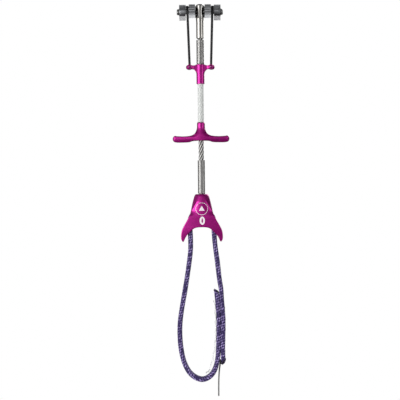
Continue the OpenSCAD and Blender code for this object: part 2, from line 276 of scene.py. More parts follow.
def make_materials():
    made = {
        "terminal": metal("polished_steel", (0.72, 0.7, 0.66), (0.58, 0.56, 0.52),
                          (0.08, 0.17), (6, 6, 0.5)),
        "axle": metal("axle_steel", (0.55, 0.55, 0.54), (0.4, 0.4, 0.39), (0.25, 0.42)),
        "washer": metal("washer_steel", (0.03, 0.03, 0.03), (0.015, 0.015, 0.015), (0.35, 0.5)),
        "rope": rope_wire(),
        "sheath": metal("sheath_wire", (0.68, 0.67, 0.65), (0.54, 0.53, 0.51), (0.32, 0.48)),
        "spring": metal("spring_wire", (0.03, 0.03, 0.03), (0.012, 0.012, 0.012), (0.3, 0.5)),
        "ferrule": metal("ferrule_alloy", (0.025, 0.025, 0.027), (0.012, 0.012, 0.013),
                         (0.35, 0.55)),
        "anchor": metal("anchor_steel", (0.62, 0.16, 0.42), (0.42, 0.08, 0.28), (0.22, 0.36)),
        "stop": metal("stop_steel", (0.55, 0.55, 0.53), (0.4, 0.4, 0.38), (0.3, 0.45)),
        "cam": cam_alloy(),
        "magenta": magenta_anodised(),
        "cord": cord_braid(),
        "tube": clear_plastic(),
        "webbing": webbing_cloth(),
        "melted": melted_webbing(),
        "label": label_tape(),
        "tag": tag_tape(),
        "thread": bartack_thread(),
        "print": print_ink(),
    }
    return {name: finish.data for name, finish in made.items()}


def cam_alloy():
    """Machined aluminium: cutter lines across the width and bright worn edges. On the rim it has a
    painted pale reflection below, a painted shadow line and a band of painted shade above it, and a
    fainter painted pale reflection at the top."""
    finish = metal("machined_alloy", (0.31, 0.32, 0.33), (0.22, 0.23, 0.24), (0.34, 0.52),
                   (0.3, 4, 4), 2.5, 0.01)
    edge = finish.add("NewGeometry").outputs["Pointiness"]
    worn = finish.ramp(edge, [(0.5, 0.0), (0.62, 1.0)])
    base = finish.painted("Base Color")
    height = finish.add("SeparateXYZ", Vector=finish.place()).outputs[2]
    normal = finish.add("NewGeometry").outputs["Normal"]
    facing = finish.add("SeparateXYZ", Vector=normal).outputs[0]
    rim = finish.math("SUBTRACT", 1.0, finish.math("ABSOLUTE", facing), clamp=True)
    along = finish.band(height, -6.0, 6.0)
    # Painted highlight: pale strips of painted reflection on the rim, below about z = -3 mm and, at
    # 0.6, above about z = 4.5 mm.
    painted_highlight = finish.ramp(along, [(0.245, 1.0), (0.265, 0.0), (0.86, 0.0), (0.89, 0.6)])
    painted_highlight = finish.math("MULTIPLY", painted_highlight, rim)
    # Painted shade: a dark painted shadow line near z = -2.6 mm and a band of painted shade from z =
    # 1.9 to 4.3 mm.
    painted_shade = finish.ramp(along, [(0.265, 0.0), (0.28, 0.85), (0.3, 0.0), (0.66, 0.0),
                                  (0.69, 0.5), (0.83, 0.5), (0.86, 0.0)])
    # pale holds the painted highlight, and then the painted shade, laid over the base colour on the
    # rim.
    pale = finish.mix(painted_highlight, base, (0.92, 0.92, 0.93))
    pale = finish.mix(finish.math("MULTIPLY", painted_shade, rim), pale, (0.07, 0.072, 0.078))
    # Less metallic where the highlight is painted, so that these strips show pale.
    finish.paint("Metallic", finish.math("SUBTRACT", 1.0, finish.math("MULTIPLY", painted_highlight, 0.75)))
    finish.paint("Base Color", finish.mix(worn, pale, (0.68, 0.69, 0.71)))
    return finish


def rope_wire():
    """Bright steel wire, near black in the valleys between the strands: painted shade."""
    finish = metal("rope_wire", (0.95, 0.94, 0.92), (0.84, 0.83, 0.8), (0.16, 0.3))
    where = finish.add("SeparateXYZ", Vector=finish.place())
    squares = [finish.math("MULTIPLY", where.outputs[axis], where.outputs[axis]) for axis in (0, 1)]
    radius = finish.math("SQRT", finish.math("ADD", *squares))
    # Painted shade: near black where the radius is small, in the valleys between the strands.
    valley_shade = finish.ramp(finish.band(radius, 1.35, 1.95), [(0.52, 0.97), (0.8, 0.0)])
    base = finish.painted("Base Color")
    finish.paint("Base Color", finish.mix(valley_shade, base, (0.03, 0.029, 0.026)))
    finish.set("Metallic", 0.5)
    return finish


def magenta_anodised():
    """Dyed and sealed aluminium: a satin metal under a clear skin."""
    finish = metal("anodised_magenta", (0.7, 0.005, 0.37), (0.58, 0.003, 0.3), (0.3, 0.38),
                   (1, 1, 1), 9.0, 0.004)
    finish.set("Metallic", 0.8)
    finish.set("Coat Weight", 0.6)
    finish.set("Coat Roughness", 0.22)
    finish.set("Coat IOR", 1.55)
    return finish


def cord_braid():
    """Black braided fibre with a trace of sheen."""
    finish = Finish("black_cord", Roughness=0.62)
    fibre = finish.noise(6, 4, (1, 1, 0.3))
    colours = [(0.3, (0.007, 0.007, 0.008)), (0.8, (0.02, 0.02, 0.022))]
    finish.paint("Base Color", finish.ramp(fibre, colours))
    finish.set("Sheen Weight", 0.05)
    finish.relief(fibre, 0.02)
    return finish


def clear_plastic():
    """Hazy clear tube with a faint painted glow of its own: part of what is inside shows through it."""
    finish = Finish("clear_tube", IOR=1.45)
    finish.set("Alpha", 0.38)
    # Painted glow: the tube gives off a little light of its own, which brightens it.
    finish.set("Emission Color", (1.0, 1.0, 0.98))
    finish.set("Emission Strength", 0.12)
    finish.set("Coat Weight", 0.4)
    haze = finish.noise(0.7, 3, (1, 1, 0.25))
    colours = [(0.3, (0.9, 0.94, 0.91)), (0.7, (0.97, 0.98, 0.97))]
    finish.paint("Base Color", finish.ramp(haze, colours))
    finish.paint("Roughness", finish.ramp(haze, [(0.3, 0.12), (0.7, 0.28)]))
    return finish


def weave(finish):
    """Diagonal yarns over and under, from the UV map: (height, which way they run, cell number)."""
    uv = finish.add("UVMap")
    uv.uv_map = "weave"
    split = finish.add("SeparateXYZ", Vector=uv.outputs[0])
    wobble = [finish.math("MULTIPLY", finish.math("SUBTRACT", finish.noise(scale, 2), 0.5), 1.1)
              for scale in (0.9, 1.05)]
    along = finish.math("DIVIDE", finish.math("ADD", split.outputs[0], wobble[0]), YARN_LENGTH)
    across = finish.math("DIVIDE", finish.math("ADD", split.outputs[1], wobble[1]), YARN_WIDTH)
    lines = (finish.math("MULTIPLY", finish.math("ADD", along, across), YARN_PITCHES[0]),
             finish.math("MULTIPLY", finish.math("SUBTRACT", along, across), YARN_PITCHES[1]))
    numbers = [finish.math("FLOOR", line) for line in lines]
    count = finish.math("ABSOLUTE", finish.math("ADD", *numbers))
    over = finish.math("MODULO", count, 2.0)
    humps = []
    for line in lines:
        middle = finish.math("SUBTRACT", finish.math("FRACT", line), 0.5)
        square = finish.math("MULTIPLY", middle, middle)
        humps.append(finish.math("SUBTRACT", 1.0, finish.math("MULTIPLY", square, 4.0)))
    lift = finish.math("MULTIPLY", humps[0], over)
    drop = finish.math("MULTIPLY", humps[1], finish.math("SUBTRACT", 1.0, over))
    cell = finish.add("CombineXYZ", X=numbers[0], Y=numbers[1]).outputs[0]
    return finish.math("ADD", lift, drop), over, cell


def webbing_cloth():
    """Dark purple webbing: some of the yarns that run one way come up pale, in short flecks, which fade
    to dark at the yarns' edges as painted shade.
    """
    finish = Finish("purple_webbing", Roughness=0.75)
    height, over, cell = weave(finish)
    fibre = finish.noise(7, 3)
    dark = finish.ramp(fibre, [(0.35, (0.012, 0.005, 0.052)), (0.7, (0.042, 0.019, 0.15))])
    pale = finish.ramp(fibre, [(0.3, (0.2, 0.135, 0.39)), (0.65, (0.53, 0.42, 0.8))])
    chance = finish.add("TexWhiteNoise", Vector=cell).outputs["Value"]
    patch = finish.math("MULTIPLY", finish.noise(0.22, 2), 0.5)
    gate = finish.ramp(finish.math("ADD", chance, patch), [(0.3, 0.05), (1.05, 1.0)])
    # Painted shade: the pale flecks fade to the dark colour where the yarns go down, between the yarns.
    crown = finish.ramp(height, [(0.1, 0.0), (0.8, 1.0)])
    fleck = finish.math("MULTIPLY", finish.math("MULTIPLY", over, gate), crown)
    finish.paint("Base Color", finish.mix(fleck, dark, pale))
    finish.set("Sheen Weight", 0.15)
    fuzz = finish.math("MULTIPLY", fibre, 0.35)
    finish.relief(finish.math("ADD", height, fuzz), 0.1)
    return finish


def melted_webbing():
    """Webbing melted into a hard dark bead."""
    finish = Finish("melted_webbing", Roughness=0.35)
    bead = finish.noise(1.4, 4)
    colours = [(0.35, (0.006, 0.004, 0.01)), (0.75, (0.05, 0.03, 0.08))]
    finish.paint("Base Color", finish.ramp(bead, colours))
    finish.relief(bead, 0.15)
    return finish


def label_tape():
    """White woven tape: fine ribs across it."""
    finish = Finish("white_tape", Roughness=0.75)
    rib = finish.add("TexWave", Vector=finish.place(), Scale=0.9, Distortion=0.4)
    rib.bands_direction = "Z"
    colours = [(0.3, (0.9, 0.9, 0.91)), (0.7, (0.97, 0.97, 0.97))]
    finish.paint("Base Color", finish.ramp(finish.noise(0.4, 3), colours))
    finish.relief(rib.outputs[0], 0.03)
    finish.set("Sheen Weight", 0.15)
    return finish


def tag_tape():
    """Grey tape, black where it comes out of the lap joint."""
    finish = Finish("tag_tape", Roughness=0.5)
    rib = finish.add("TexWave", Vector=finish.place(), Scale=1.2, Distortion=0.3)
    rib.bands_direction = "Y"
    greys = [(0.3, (0.13, 0.13, 0.13)), (0.7, (0.22, 0.22, 0.21))]
    grey = finish.ramp(finish.noise(0.35, 3), greys)
    height = finish.add("SeparateXYZ", Vector=finish.place()).outputs[2]
    black = finish.ramp(finish.band(height, -266.0, -260.0), [(0.0, 0.0), (1.0, 1.0)])
    finish.paint("Base Color", finish.mix(black, grey, (0.015, 0.015, 0.016)))
    finish.relief(rib.outputs[0], 0.02)
    return finish


def bartack_thread():
    """Grey sewing thread."""
    finish = Finish("bartack_thread", Roughness=0.5)
    ply = finish.noise(5, 2)
    greys = [(0.3, (0.204, 0.198, 0.216)), (0.7, (0.34, 0.33, 0.36))]
    finish.paint("Base Color", finish.ramp(ply, greys))
    finish.set("Sheen Weight", 0.2)
    finish.relief(ply, 0.03)
    return finish


def print_ink():
    """White etched marks, a little pink where they are worn."""
    finish = Finish("etched_mark", Roughness=0.45)
    worn = finish.noise(3, 4)
    colours = [(0.3, (0.88, 0.74, 0.82)), (0.6, (0.97, 0.93, 0.95))]
    finish.paint("Base Color", finish.ramp(worn, colours))
    return finish


# ---------------------------------------------------------------- mesh building


class Shape:
    """Collects vertices, faces and UVs of one piece."""

    def __init__(self):
        self.points = []
        self.faces = []
        self.uvs = []

    def skin(self, rings, loop=False, uv=None):
        """Joins rings of points into a closed tube, or a torus where it is a loop. uv(i, k) gives
        the UV of corner k of ring i."""
        start, count = len(self.points), len(rings[0])
        for ring in rings:
            self.points.extend(ring)
        last = len(rings) if loop else len(rings) - 1
        for i in range(last):
            here, there = start + i * count, start + (i + 1) % len(rings) * count
            for k in range(count):
                n = (k + 1) % count
                self.faces.append((here + k, here + n, there + n, there + k))
                if uv:
                    self.uvs.append((uv(i, k), uv(i, k + 1), uv(i + 1, k + 1), uv(i + 1, k)))
        if not loop:
            first = range(start + count - 1, start - 1, -1)
            end = start + last * count
            for face, i in ((first, 0), (range(end, end + count), last)):
                self.faces.append(tuple(face))
                if uv:
                    self.uvs.append(tuple(uv(i, k) for k in range(count)))

    def tube(self, path, radius, sides):
        """A round tube along a path."""
        rings = []
        side = None
        for i, point in enumerate(path):
            run = (path[min(i + 1, len(path) - 1)] - path[max(i - 1, 0)]).normalized()
            if side is None:
                side = run.orthogonal()
            side = (side - run * side.dot(run)).normalized()
            other = run.cross(side)
            rings.append([point + (side * math.cos(a) + other * math.sin(a)) * radius
                          for a in (TURN * k / sides for k in range(sides))])
        self.skin(rings)

    def piece(self, name, material, body, replaces=(), smooth_angle=40):
        """Makes the Blender object, riding on a body."""
        mesh = bpy.data.meshes.new(name)
        mesh.from_pydata([tuple(p) for p in self.points], [], self.faces)
        if self.uvs:
            layer = mesh.uv_layers.new(name="weave")
            flat = [c for face in self.uvs for corner in face for c in corner]
            layer.data.foreach_set("uv", flat)
        mesh.validate()
        return finish_piece(name, mesh, material, body, replaces, smooth_angle)


def finish_piece(name, mesh, material, body, replaces, smooth_angle):
    """Makes a Blender object of a mesh, smooth up to an angle, and rides it on a body."""
    sheet = bmesh.new()
    sheet.from_mesh(mesh)
    bmesh.ops.recalc_face_normals(sheet, faces=sheet.faces)
    sheet.to_mesh(mesh)
    sheet.free()
    mesh.shade_smooth()
    mesh.set_sharp_from_angle(angle=math.radians(smooth_angle))
    mesh.materials.clear()
    mesh.materials.append(material)
    obj = bpy.data.objects.new(name, mesh)
    bpy.context.scene.collection.objects.link(obj)
    flatten = obj.modifiers.new("flatten", "WEIGHTED_NORMAL")
    flatten.keep_sharp = True
    flatten.weight = 100
    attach(obj, body)
    if replaces:
        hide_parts(*replaces)
    return obj


def softened(node, body, material, width):
    """A copy of a CAD node with its flat faces merged and its edges rounded, which stands for it."""
    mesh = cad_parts[node].data.copy()
    work = bmesh.new()
    work.from_mesh(mesh)
    bmesh.ops.remove_doubles(work, verts=work.verts, dist=0.002 * MM)
    flat = math.radians(1.5)
    bmesh.ops.dissolve_limit(work, angle_limit=flat, verts=work.verts, edges=work.edges)
    steep = math.radians(28)
    sharp = [e for e in work.edges if len(e.link_faces) == 2 and e.calc_face_angle(0) > steep]
    bmesh.ops.bevel(work, geom=sharp, offset=width * MM, segments=2, profile=0.6,
                    affect="EDGES", clamp_overlap=True)
    work.to_mesh(mesh)
    work.free()
    return finish_piece(node + "_finished", mesh, material, body, (node,), 35)


def rounded(node, body, material, voxel, passes, crown):
    """A copy of a CAD node remeshed and eased, so that every edge turns over softly, and then
    crowned point by point."""
    block = bpy.data.objects.new(node + "_block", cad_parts[node].data.copy())
    bpy.context.scene.collection.objects.link(block)
    remesh = block.modifiers.new("remesh", "REMESH")
    remesh.mode = "VOXEL"
    remesh.voxel_size = voxel * MM
    ease = block.modifiers.new("ease", "SMOOTH")
    ease.factor = 0.5
    ease.iterations = passes
    graph = bpy.context.evaluated_depsgraph_get()
    mesh = bpy.data.meshes.new_from_object(block.evaluated_get(graph))
    bpy.data.objects.remove(block)
    for vertex in mesh.vertices:
        vertex.co = crown(vertex.co)
    return finish_piece(node + "_finished", mesh, material, body, (node,), 60)


def blend(value, low, high):
    """0 at low, 1 at high, and smooth between them."""
    t = min(1, max(0, (value - low) / (high - low)))
    return t * t * (3 - 2 * t)


def squeeze(y, inner, outer, face):
    """Moves a depth so that outer comes to face, while anything inside inner stays."""
    if abs(y) <= inner:
        return y
    return math.copysign(inner + (abs(y) - inner) * (face - inner) / (outer - inner), y)


def circle(x, radius):
    """Half the depth of a round bar at a distance x from its middle."""
    return math.sqrt(max(0.0, radius ** 2 - x * x))


def crown_thumb_rest(point):
    """Rounds the front and back of the thumb rest: a cone above, and plates that thin to their tips."""
    channel, face = 4.9, 7
    cone_round, plate_round, plate_half = 0.32, 0.15, 15
    plates_begin, cone_ends = -149.5, -145
    neck_half, neck_flare, neck_top, neck_foot = 5, 3.4, -133, -147
    thinning, thin_from, thin_to = 0.85, 157.5, 168
    x, y, z = (c / MM for c in point)
    cone = blend(z, plates_begin, cone_ends)
    half = neck_half + neck_flare * blend(z, neck_top, neck_foot)
    bulge = cone * cone_round * min(1, (x / half) ** 2)
    bulge += (1 - cone) * plate_round * (x / plate_half) ** 2
    thinned = face - (face - channel) * thinning * blend(-z, thin_from, thin_to)
    return Vector((x, squeeze(y * (1 - bulge), channel, face, thinned), z)) * MM


def crown_trigger(point):
    """Blends the trigger's neck into its wings, which are rounded bars that thin towards their ends."""
    bore, neck_radius, face = 2.1, 2.88, 4.5
    neck_top, neck_foot, collar_top = -84, -91.2, -82.8
    wing_length, end_thinning = 18, 0.5
    bar_depth, bar_half, bar_round, bar_top, fillet_top = 92.2, 3, 0.42, -90.2, -88
    x, y, z = (c / MM for c in point)
    if z < neck_top:
        neck = blend(z, neck_foot, neck_top)
        depth = circle(x, neck_radius) * neck + face * (1 - neck)
        y = squeeze(y, circle(x, bore), face, depth)
    elif z < collar_top:
        y = math.copysign(min(abs(y), circle(x, neck_radius)), y)
    thin = end_thinning * (math.hypot(x, 3) - 3) / wing_length
    if z < bar_top:
        drop = bar_round * ((z + bar_depth) / bar_half) ** 2
    else:
        drop = bar_round * 4 / 9 * blend(z, fillet_top, bar_top)
    return Vector((x, y * (1 - thin) * (1 - drop * blend(abs(x), 2, 6)), z)) * MM


def crown_slider(point):
    """Lets the slider's tube stand proud between its thinner arms, which swell again at their ends."""
    bore, tube_radius, flat = 2.1, 2.93, 3.3
    arm_half, boss_from, boss_to, corner = 2.3, 4.6, 6.6, 0.09
    arms_foot, seam_from, seam_to = -46.2, 43.9, 45.1
    x, y, z = (c / MM for c in point)
    if z > arms_foot:
        tube = circle(x, tube_radius)
        arm = arm_half + blend(abs(x), boss_from, boss_to)
        face = min(flat, (tube + arm + math.sqrt((tube - arm) ** 2 + corner)) / 2)
        scaled = squeeze(y, circle(x, bore), flat, face)
        cut = math.copysign(min(abs(y), tube), y)
        seam = blend(-z, seam_from, seam_to)
        y = scaled * (1 - seam) + cut * seam
    return Vector((x, y, z)) * MM


def catmull(points, steps):
    """The smooth curve through a list of points, as part.scad draws it."""
    curve = []
    last = len(points) - 1
    for i in range(last):
        a, b = points[max(i - 1, 0)], points[i]
        c, d = points[i + 1], points[min(i + 2, last)]
        for s in range(steps):
            t = s / steps
            curve.append(0.5 * (2 * b + (c - a) * t + (2 * a - 5 * b + 4 * c - d) * t * t
                                + (3 * b - a - 3 * c + d) * t ** 3))
    curve.append(points[last].copy())
    return curve


def helix(radius, low, high, turns, steps, start, along="Z"):
    """Points on a helix round the Z or the X axis, in metres, with that many steps a turn."""
    count = max(2, round(turns * steps))
    path = []
    for i in range(count + 1):
        angle = start + TURN * turns * i / count
        height = low + (high - low) * i / count
        a, b = radius * math.cos(angle), radius * math.sin(angle)
        path.append(Vector((a, b, height)) if along == "Z" else Vector((height, a, b)))
    return path


# ---------------------------------------------------------------- the sling

SLING_ROUTE = [
    (14.7, -256), (14.4, -246), (14.8, -231.5), (14.8, -222), (13.9, -209), (13.5, -202),
    (12.4, -195), (11, -182), (9.6, -171), (8.9, -162), (8.8, -155.5), (8.3, -150.4),
    (5.6, -147.2), (0, -146.8), (-5.6, -147.2), (-8.3, -150.4), (-8.7, -156), (-8.4, -164),
    (-8.4, -173), (-9.5, -182.5), (-11.4, -195), (-13.4, -206.5), (-15.2, -216.5),
    (-16.5, -226), (-16.8, -235), (-16.1, -245), (-14.1, -254.5), (-10.6, -262),
    (-6, -266.3), (-0.6, -268), (4.6, -266), (8.2, -261.4), (10.3, -254.5), (11.1, -246),
    (11.5, -231.5), (11.5, -222), (10.6, -209), (9.9, -203)
]
LABEL_ROUTE = [
    (8.3, -211), (8.9, -217), (9.2, -225), (9.2, -233), (8.8, -241), (8, -247.5),
    (6.9, -253.5), (5.3, -259), (3.7, -262.5), (1.6, -264)
]
TAG_ROUTE = [(12.6, -254), (12.2, -258), (11.6, -263), (11.2, -270), (11.1, -280.3)]
WEB_WIDTH = 8.0
WEB_THICK = 3.2
WEB_STEP = 0.38
RIBBON_STEP = 0.5


def flat_route(points):
    """A route in millimetres, in the plane of the stem, as points in metres."""
    return [Vector((x, 0, z)) * MM for x, z in points]


def rounded_section(width, thick, corner, steps):
    """Points round a soft rectangle as (across the thickness, across the width), in mm."""
    section = []
    half_t, half_w = thick / 2 - corner, width / 2 - corner
    for quarter, (u, v) in enumerate(((1, 1), (-1, 1), (-1, -1), (1, -1))):
        for s in range(steps):
            angle = math.pi / 2 * (quarter + s / steps)
            section.append((u * half_t + corner * math.cos(angle),
                            v * half_w + corner * math.sin(angle)))
    return section


def dense(section, spacing):
    """The same outline with extra points on its long straight stretches."""
    filled = []
    for i, (x, y) in enumerate(section):
        there = section[(i + 1) % len(section)]
        parts = max(1, round(math.dist((x, y), there) / spacing))
        filled += [(x + (there[0] - x) * p / parts, y + (there[1] - y) * p / parts)
                   for p in range(parts)]
    return filled


def reach_round(section):
    """How far along its outline each point of a section lies, in mm, and last the whole way round."""
    reach = [0.0]
    for here, there in zip(section, section[1:] + section[:1]):
        reach.append(reach[-1] + math.dist(here, there))
    return reach


def even_steps(path, step):
    """Walks along a path and returns points a fixed step apart."""
    out, carried = [path[0].copy()], 0.0
    for a, b in zip(path, path[1:]):
        gap = (b - a).length
        while carried + gap >= step:
            a = a + (b - a) * ((step - carried) / gap)
            gap = (b - a).length
            out.append(a.copy())
            carried = 0.0
        carried += gap
    return out


def ribbon_frames(path):
    """For each point: the direction of travel and the direction across the thickness."""
    frames = []
    for i in range(len(path)):
        run = (path[min(i + 1, len(path) - 1)] - path[max(i - 1, 0)]).normalized()
        frames.append((run, Vector((-run.z, 0, run.x))))
    return frames


def weave_height(along, across, length_pitch=YARN_LENGTH, width_pitch=YARN_WIDTH):
    """The same over and under pattern as the webbing's material, from 0 to 1."""
    first = (along / length_pitch + across / width_pitch) * YARN_PITCHES[0]
    second = (along / length_pitch - across / width_pitch) * YARN_PITCHES[1]
    over = (math.floor(first) + math.floor(second)) % 2
    middle = ((first if over else second) % 1) - 0.5
    return 1 - 4 * middle * middle


def make_sling(materials):
    """The webbing along its whole route: woven, swollen where it is single, pinched at its ends."""
    path = even_steps(catmull(flat_route(SLING_ROUTE), 12), WEB_STEP * MM)
    section = dense(rounded_section(WEB_WIDTH, WEB_THICK, 1.15, 5), WEB_STEP)
    reach = reach_round(section)
    relief, lump_height = 0.2, 0.22
    pinch, pinch_length, slant_length = 0.42, 2.2, 3.2
    lap_length, single_from, swelling, waviness = 52, 60, 0.06, 0.03
    rings = []
    total = len(path) - 1
    for i, (point, (run, side)) in enumerate(zip(path, ribbon_frames(path))):
        from_end = min(i, total - i) * WEB_STEP
        tip = 1 - pinch * max(0.0, 1 - from_end / pinch_length) ** 2
        single = blend(from_end, lap_length, single_from)
        wave = waviness * single * math.sin(i * 0.09) * math.sin(i * 0.023)
        swell = 1.03 + swelling * single + wave
        slant = max(0.0, 1 - from_end / slant_length)
        ring = []
        for k, (t, w) in enumerate(section):
            size = math.hypot(t, w)
            lift = relief * (weave_height(i * WEB_STEP, reach[k]) - 0.6) * (1 - slant)
            lump = slant * lump_height * math.sin(k * 1.7 + i) * math.cos(k * 0.6)
            out_t = t * tip * swell + (lift + lump) * t / size
            out_w = w * (1 - 0.1 * slant) + (lift + lump) * w / size
            skew = slant * (0.9 * t) * (1 if i > total / 2 else -1)
            ring.append(point + side * out_t * MM + Vector((0, out_w * MM, 0)) + run * skew * MM)
        rings.append(ring)
    shape = Shape()
    shape.skin(rings, uv=lambda i, k: (i * WEB_STEP, reach[k]))
    sling = shape.piece("sling_webbing", materials["webbing"], "stem", ("sling",), 60)
    return sling, path


def squared(part, power):
    """A sine or cosine pushed out towards 1 or -1, which turns a round ring into a squarer one."""
    return math.copysign(abs(part) ** power, part)


def make_melted_ends(materials, path):
    """The heat-sealed ends of the webbing: hard dark beads with a rough rim."""
    ends = []
    steps, sides, half_width = 9, 28, 3.9
    ripple, roughness, overhang, slope = 0.07, 0.05, 0.7, 0.6
    for name, tip, back, lean, thick, long in (("lower", path[0], path[6], -1, 1.95, 4.2),
                                               ("upper", path[-1], path[-7], 1, 1.75, 2.2)):
        run = (tip - back).normalized()
        side = Vector((-run.z, 0, run.x))
        rings = []
        for i in range(steps):
            t = i / (steps - 1)
            grow = math.sin(math.pi * min(1, 0.16 + t * 0.84)) ** 0.5
            ring = []
            for k in range(sides):
                angle = TURN * k / sides
                wobble = 1 + ripple * math.sin(5 * angle + i) + roughness * random.uniform(-1, 1)
                a = squared(math.cos(angle), 0.6) * thick * grow * wobble
                w = squared(math.sin(angle), 0.5) * half_width * grow ** 0.5 * wobble
                push = (t - overhang) * long + slope * a * lean
                ring.append(tip + side * a * MM + Vector((0, w * MM, 0)) + run * push * MM)
            rings.append(ring)
        shape = Shape()
        shape.skin(rings)
        ends.append(shape.piece(f"melted_end_{name}", materials["melted"], "stem"))
    return ends


def make_ribbon(name, route, width, thick, material, node, wave=lambda along: 0.0):
    """A thin tape along a route, slightly uneven. wave(along) moves it off its route, in mm."""
    path = even_steps(catmull(flat_route(route), 10), RIBBON_STEP * MM)
    corner, spacing, ripple = 0.42, 0.7, 0.06
    section = dense(rounded_section(width, thick, thick * corner, 3), spacing)
    reach = reach_round(section)
    rings = []
    for i, (point, (_, side)) in enumerate(zip(path, ribbon_frames(path))):
        shift = wave(i * RIBBON_STEP)
        rings.append([point + side * (t + shift + ripple * math.sin(w * 1.1 + i * 0.12)) * MM
                      + Vector((0, w * MM, 0)) for t, w in section])
    shape = Shape()
    shape.skin(rings, uv=lambda i, k: (i * RIBBON_STEP, reach[k]))
    return shape.piece(name, material, "stem", (node,), 60)


def make_bartacks(materials, sling_path):
    """Rows of zigzag thread that sew the lap joint: on its inner and its outer face."""
    passes, half_width, half_height, thread_radius, clearance = 26, 3.2, 0.7, 0.16, 0.05
    within, right_strand = 0.4 * MM, 5 * MM
    tacks = []
    for row, z in enumerate((-216, -224, -232, -239.5, -247.5)):
        near = [p for p in sling_path if abs(p.z - z * MM) < within and p.x > right_strand]
        inner = min(near, key=lambda p: p.x)
        outer = max(near, key=lambda p: p.x)
        shape = Shape()
        for at, offset in ((inner, -WEB_THICK / 2 - clearance), (outer, WEB_THICK / 2 + clearance)):
            path = []
            for i in range(passes + 1):
                across = 2 * half_width * i / passes - half_width
                up = half_height if i % 2 else -half_height
                path.append(at + Vector((offset, across, up)) * MM)
            shape.tube(path, thread_radius * MM, 6)
        tack = shape.piece(f"bartack_{row}", materials["thread"], "stem", (), 60)
        tacks.append(tack)
    return tacks


# ---------------------------------------------------------------- rope, sheaths and cords


# In millimetres: where a trigger cord is held in the slider and in its cam, for side = face = 1
ANCHOR = (7.8, 1.3, -40.2)
CORD_PIN = (9.15, 4.677, 2.7)
CORD_RADIUS = 0.88
ROPE_LAY = 21


def make_rope(materials):
    """Six strands of seven wires laid round a core, over the length of the CAD rope."""
    low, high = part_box("stem_cable")
    radius = (high.x - low.x) / 2
    strands, wires, wire_turns = 6, 6, 1.4
    strand_r = radius / 3.02
    strand_at = radius - strand_r
    turns = (high.z - low.z) / (ROPE_LAY * MM)
    wire_r = strand_r * 0.36
    wire_at = strand_r - wire_r
    shape = Shape()
    for strand in range(strands):
        centre = helix(strand_at, low.z, high.z, turns, 24, TURN * strand / strands)
        shape.tube(centre, wire_at * 0.96, 8)
        count = len(centre) - 1
        for wire in range(wires):
            path = []
            for i, point in enumerate(centre):
                run = (centre[min(i + 1, count)] - centre[max(i - 1, 0)]).normalized()
                out = Vector((point.x, point.y, 0)).normalized()
                other = run.cross(out)
                angle = TURN * wire / wires - TURN * wire_turns * turns * i / count
                path.append(point + (out * math.cos(angle) + other * math.sin(angle)) * wire_at)
            shape.tube(path, wire_r, 6)
    core = [Vector((0, 0, z)) for z in (low.z, (low.z + high.z) / 2, high.z)]
    shape.tube(core, strand_r * 0.9, 12)
    shape.piece("wire_rope", materials["rope"], "stem", ("stem_cable",), 80)


def make_sheath(node, materials):
    """A close-wound strip: flat outside, with a fine groove at every turn."""
    low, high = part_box(node)
    outer = (high.x - low.x) / 2
    pitch = 0.62 * MM
    turns = (high.z - low.z - pitch) / pitch
    half, depth, groove = pitch * 0.49, 0.5 * MM, 0.055 * MM
    profile = [(outer - groove, -half), (outer, -half * 0.55), (outer, half * 0.55),
               (outer - groove, half), (outer - depth, half), (outer - depth, -half)]
    steps = 30
    count = round(turns * steps)
    rings = []
    for i in range(count + 1):
        angle = TURN * turns * i / count
        z = low.z + pitch / 2 + (high.z - low.z - pitch) * i / count
        rings.append([Vector((r * math.cos(angle), r * math.sin(angle), z + h)) for r, h in profile])
    shape = Shape()
    shape.skin(rings)
    shape.piece(node + "_coil", materials["sheath"], "stem", (node,), 30)


def make_cord(kind, side_name, materials):
    """A braided cord along the line of its CAD rod, with a stopper ball on its lower end."""
    mirror = Vector((SIDES[side_name], CAM_FACES[kind], 1))
    low = Vector(ANCHOR) * mirror * MM
    high = Vector(CORD_PIN) * mirror * MM
    run = (high - low).normalized()
    short_of_pin, step, relief, braid_pitch, yarns = 2.0, 0.3, 0.07, 1.9, 8
    high = high - run * short_of_pin * MM
    across = run.orthogonal().normalized()
    other = run.cross(across)
    length = (high - low).length / MM
    steps, sides = round(length / step), 24
    around = TURN * CORD_RADIUS / yarns
    rings = []
    for i in range(steps + 1):
        point = low + run * length * MM * i / steps
        ring = []
        for k in range(sides):
            angle = TURN * k / sides
            height = weave_height(length * i / steps, angle * CORD_RADIUS, braid_pitch, around)
            r = (CORD_RADIUS - relief + relief * height) * MM
            ring.append(point + (across * math.cos(angle) + other * math.sin(angle)) * r)
        rings.append(ring)
    shape = Shape()
    shape.skin(rings)
    ball = []
    ball_steps, ball_sides = 8, 16
    for i in range(ball_steps + 1):
        lean = math.pi * (0.06 + 0.88 * i / ball_steps)
        ring = []
        for k in range(ball_sides):
            angle = TURN * k / ball_sides
            out = (across * math.cos(angle) + other * math.sin(angle)) * math.sin(lean)
            ring.append(low + (run * -math.cos(lean) + out) * MM)
        ball.append(ring)
    shape.skin(ball)
    body = f"cord_{kind}_{side_name}"
    shape.piece(body + "_braid", materials["cord"], body, (body,), 80)


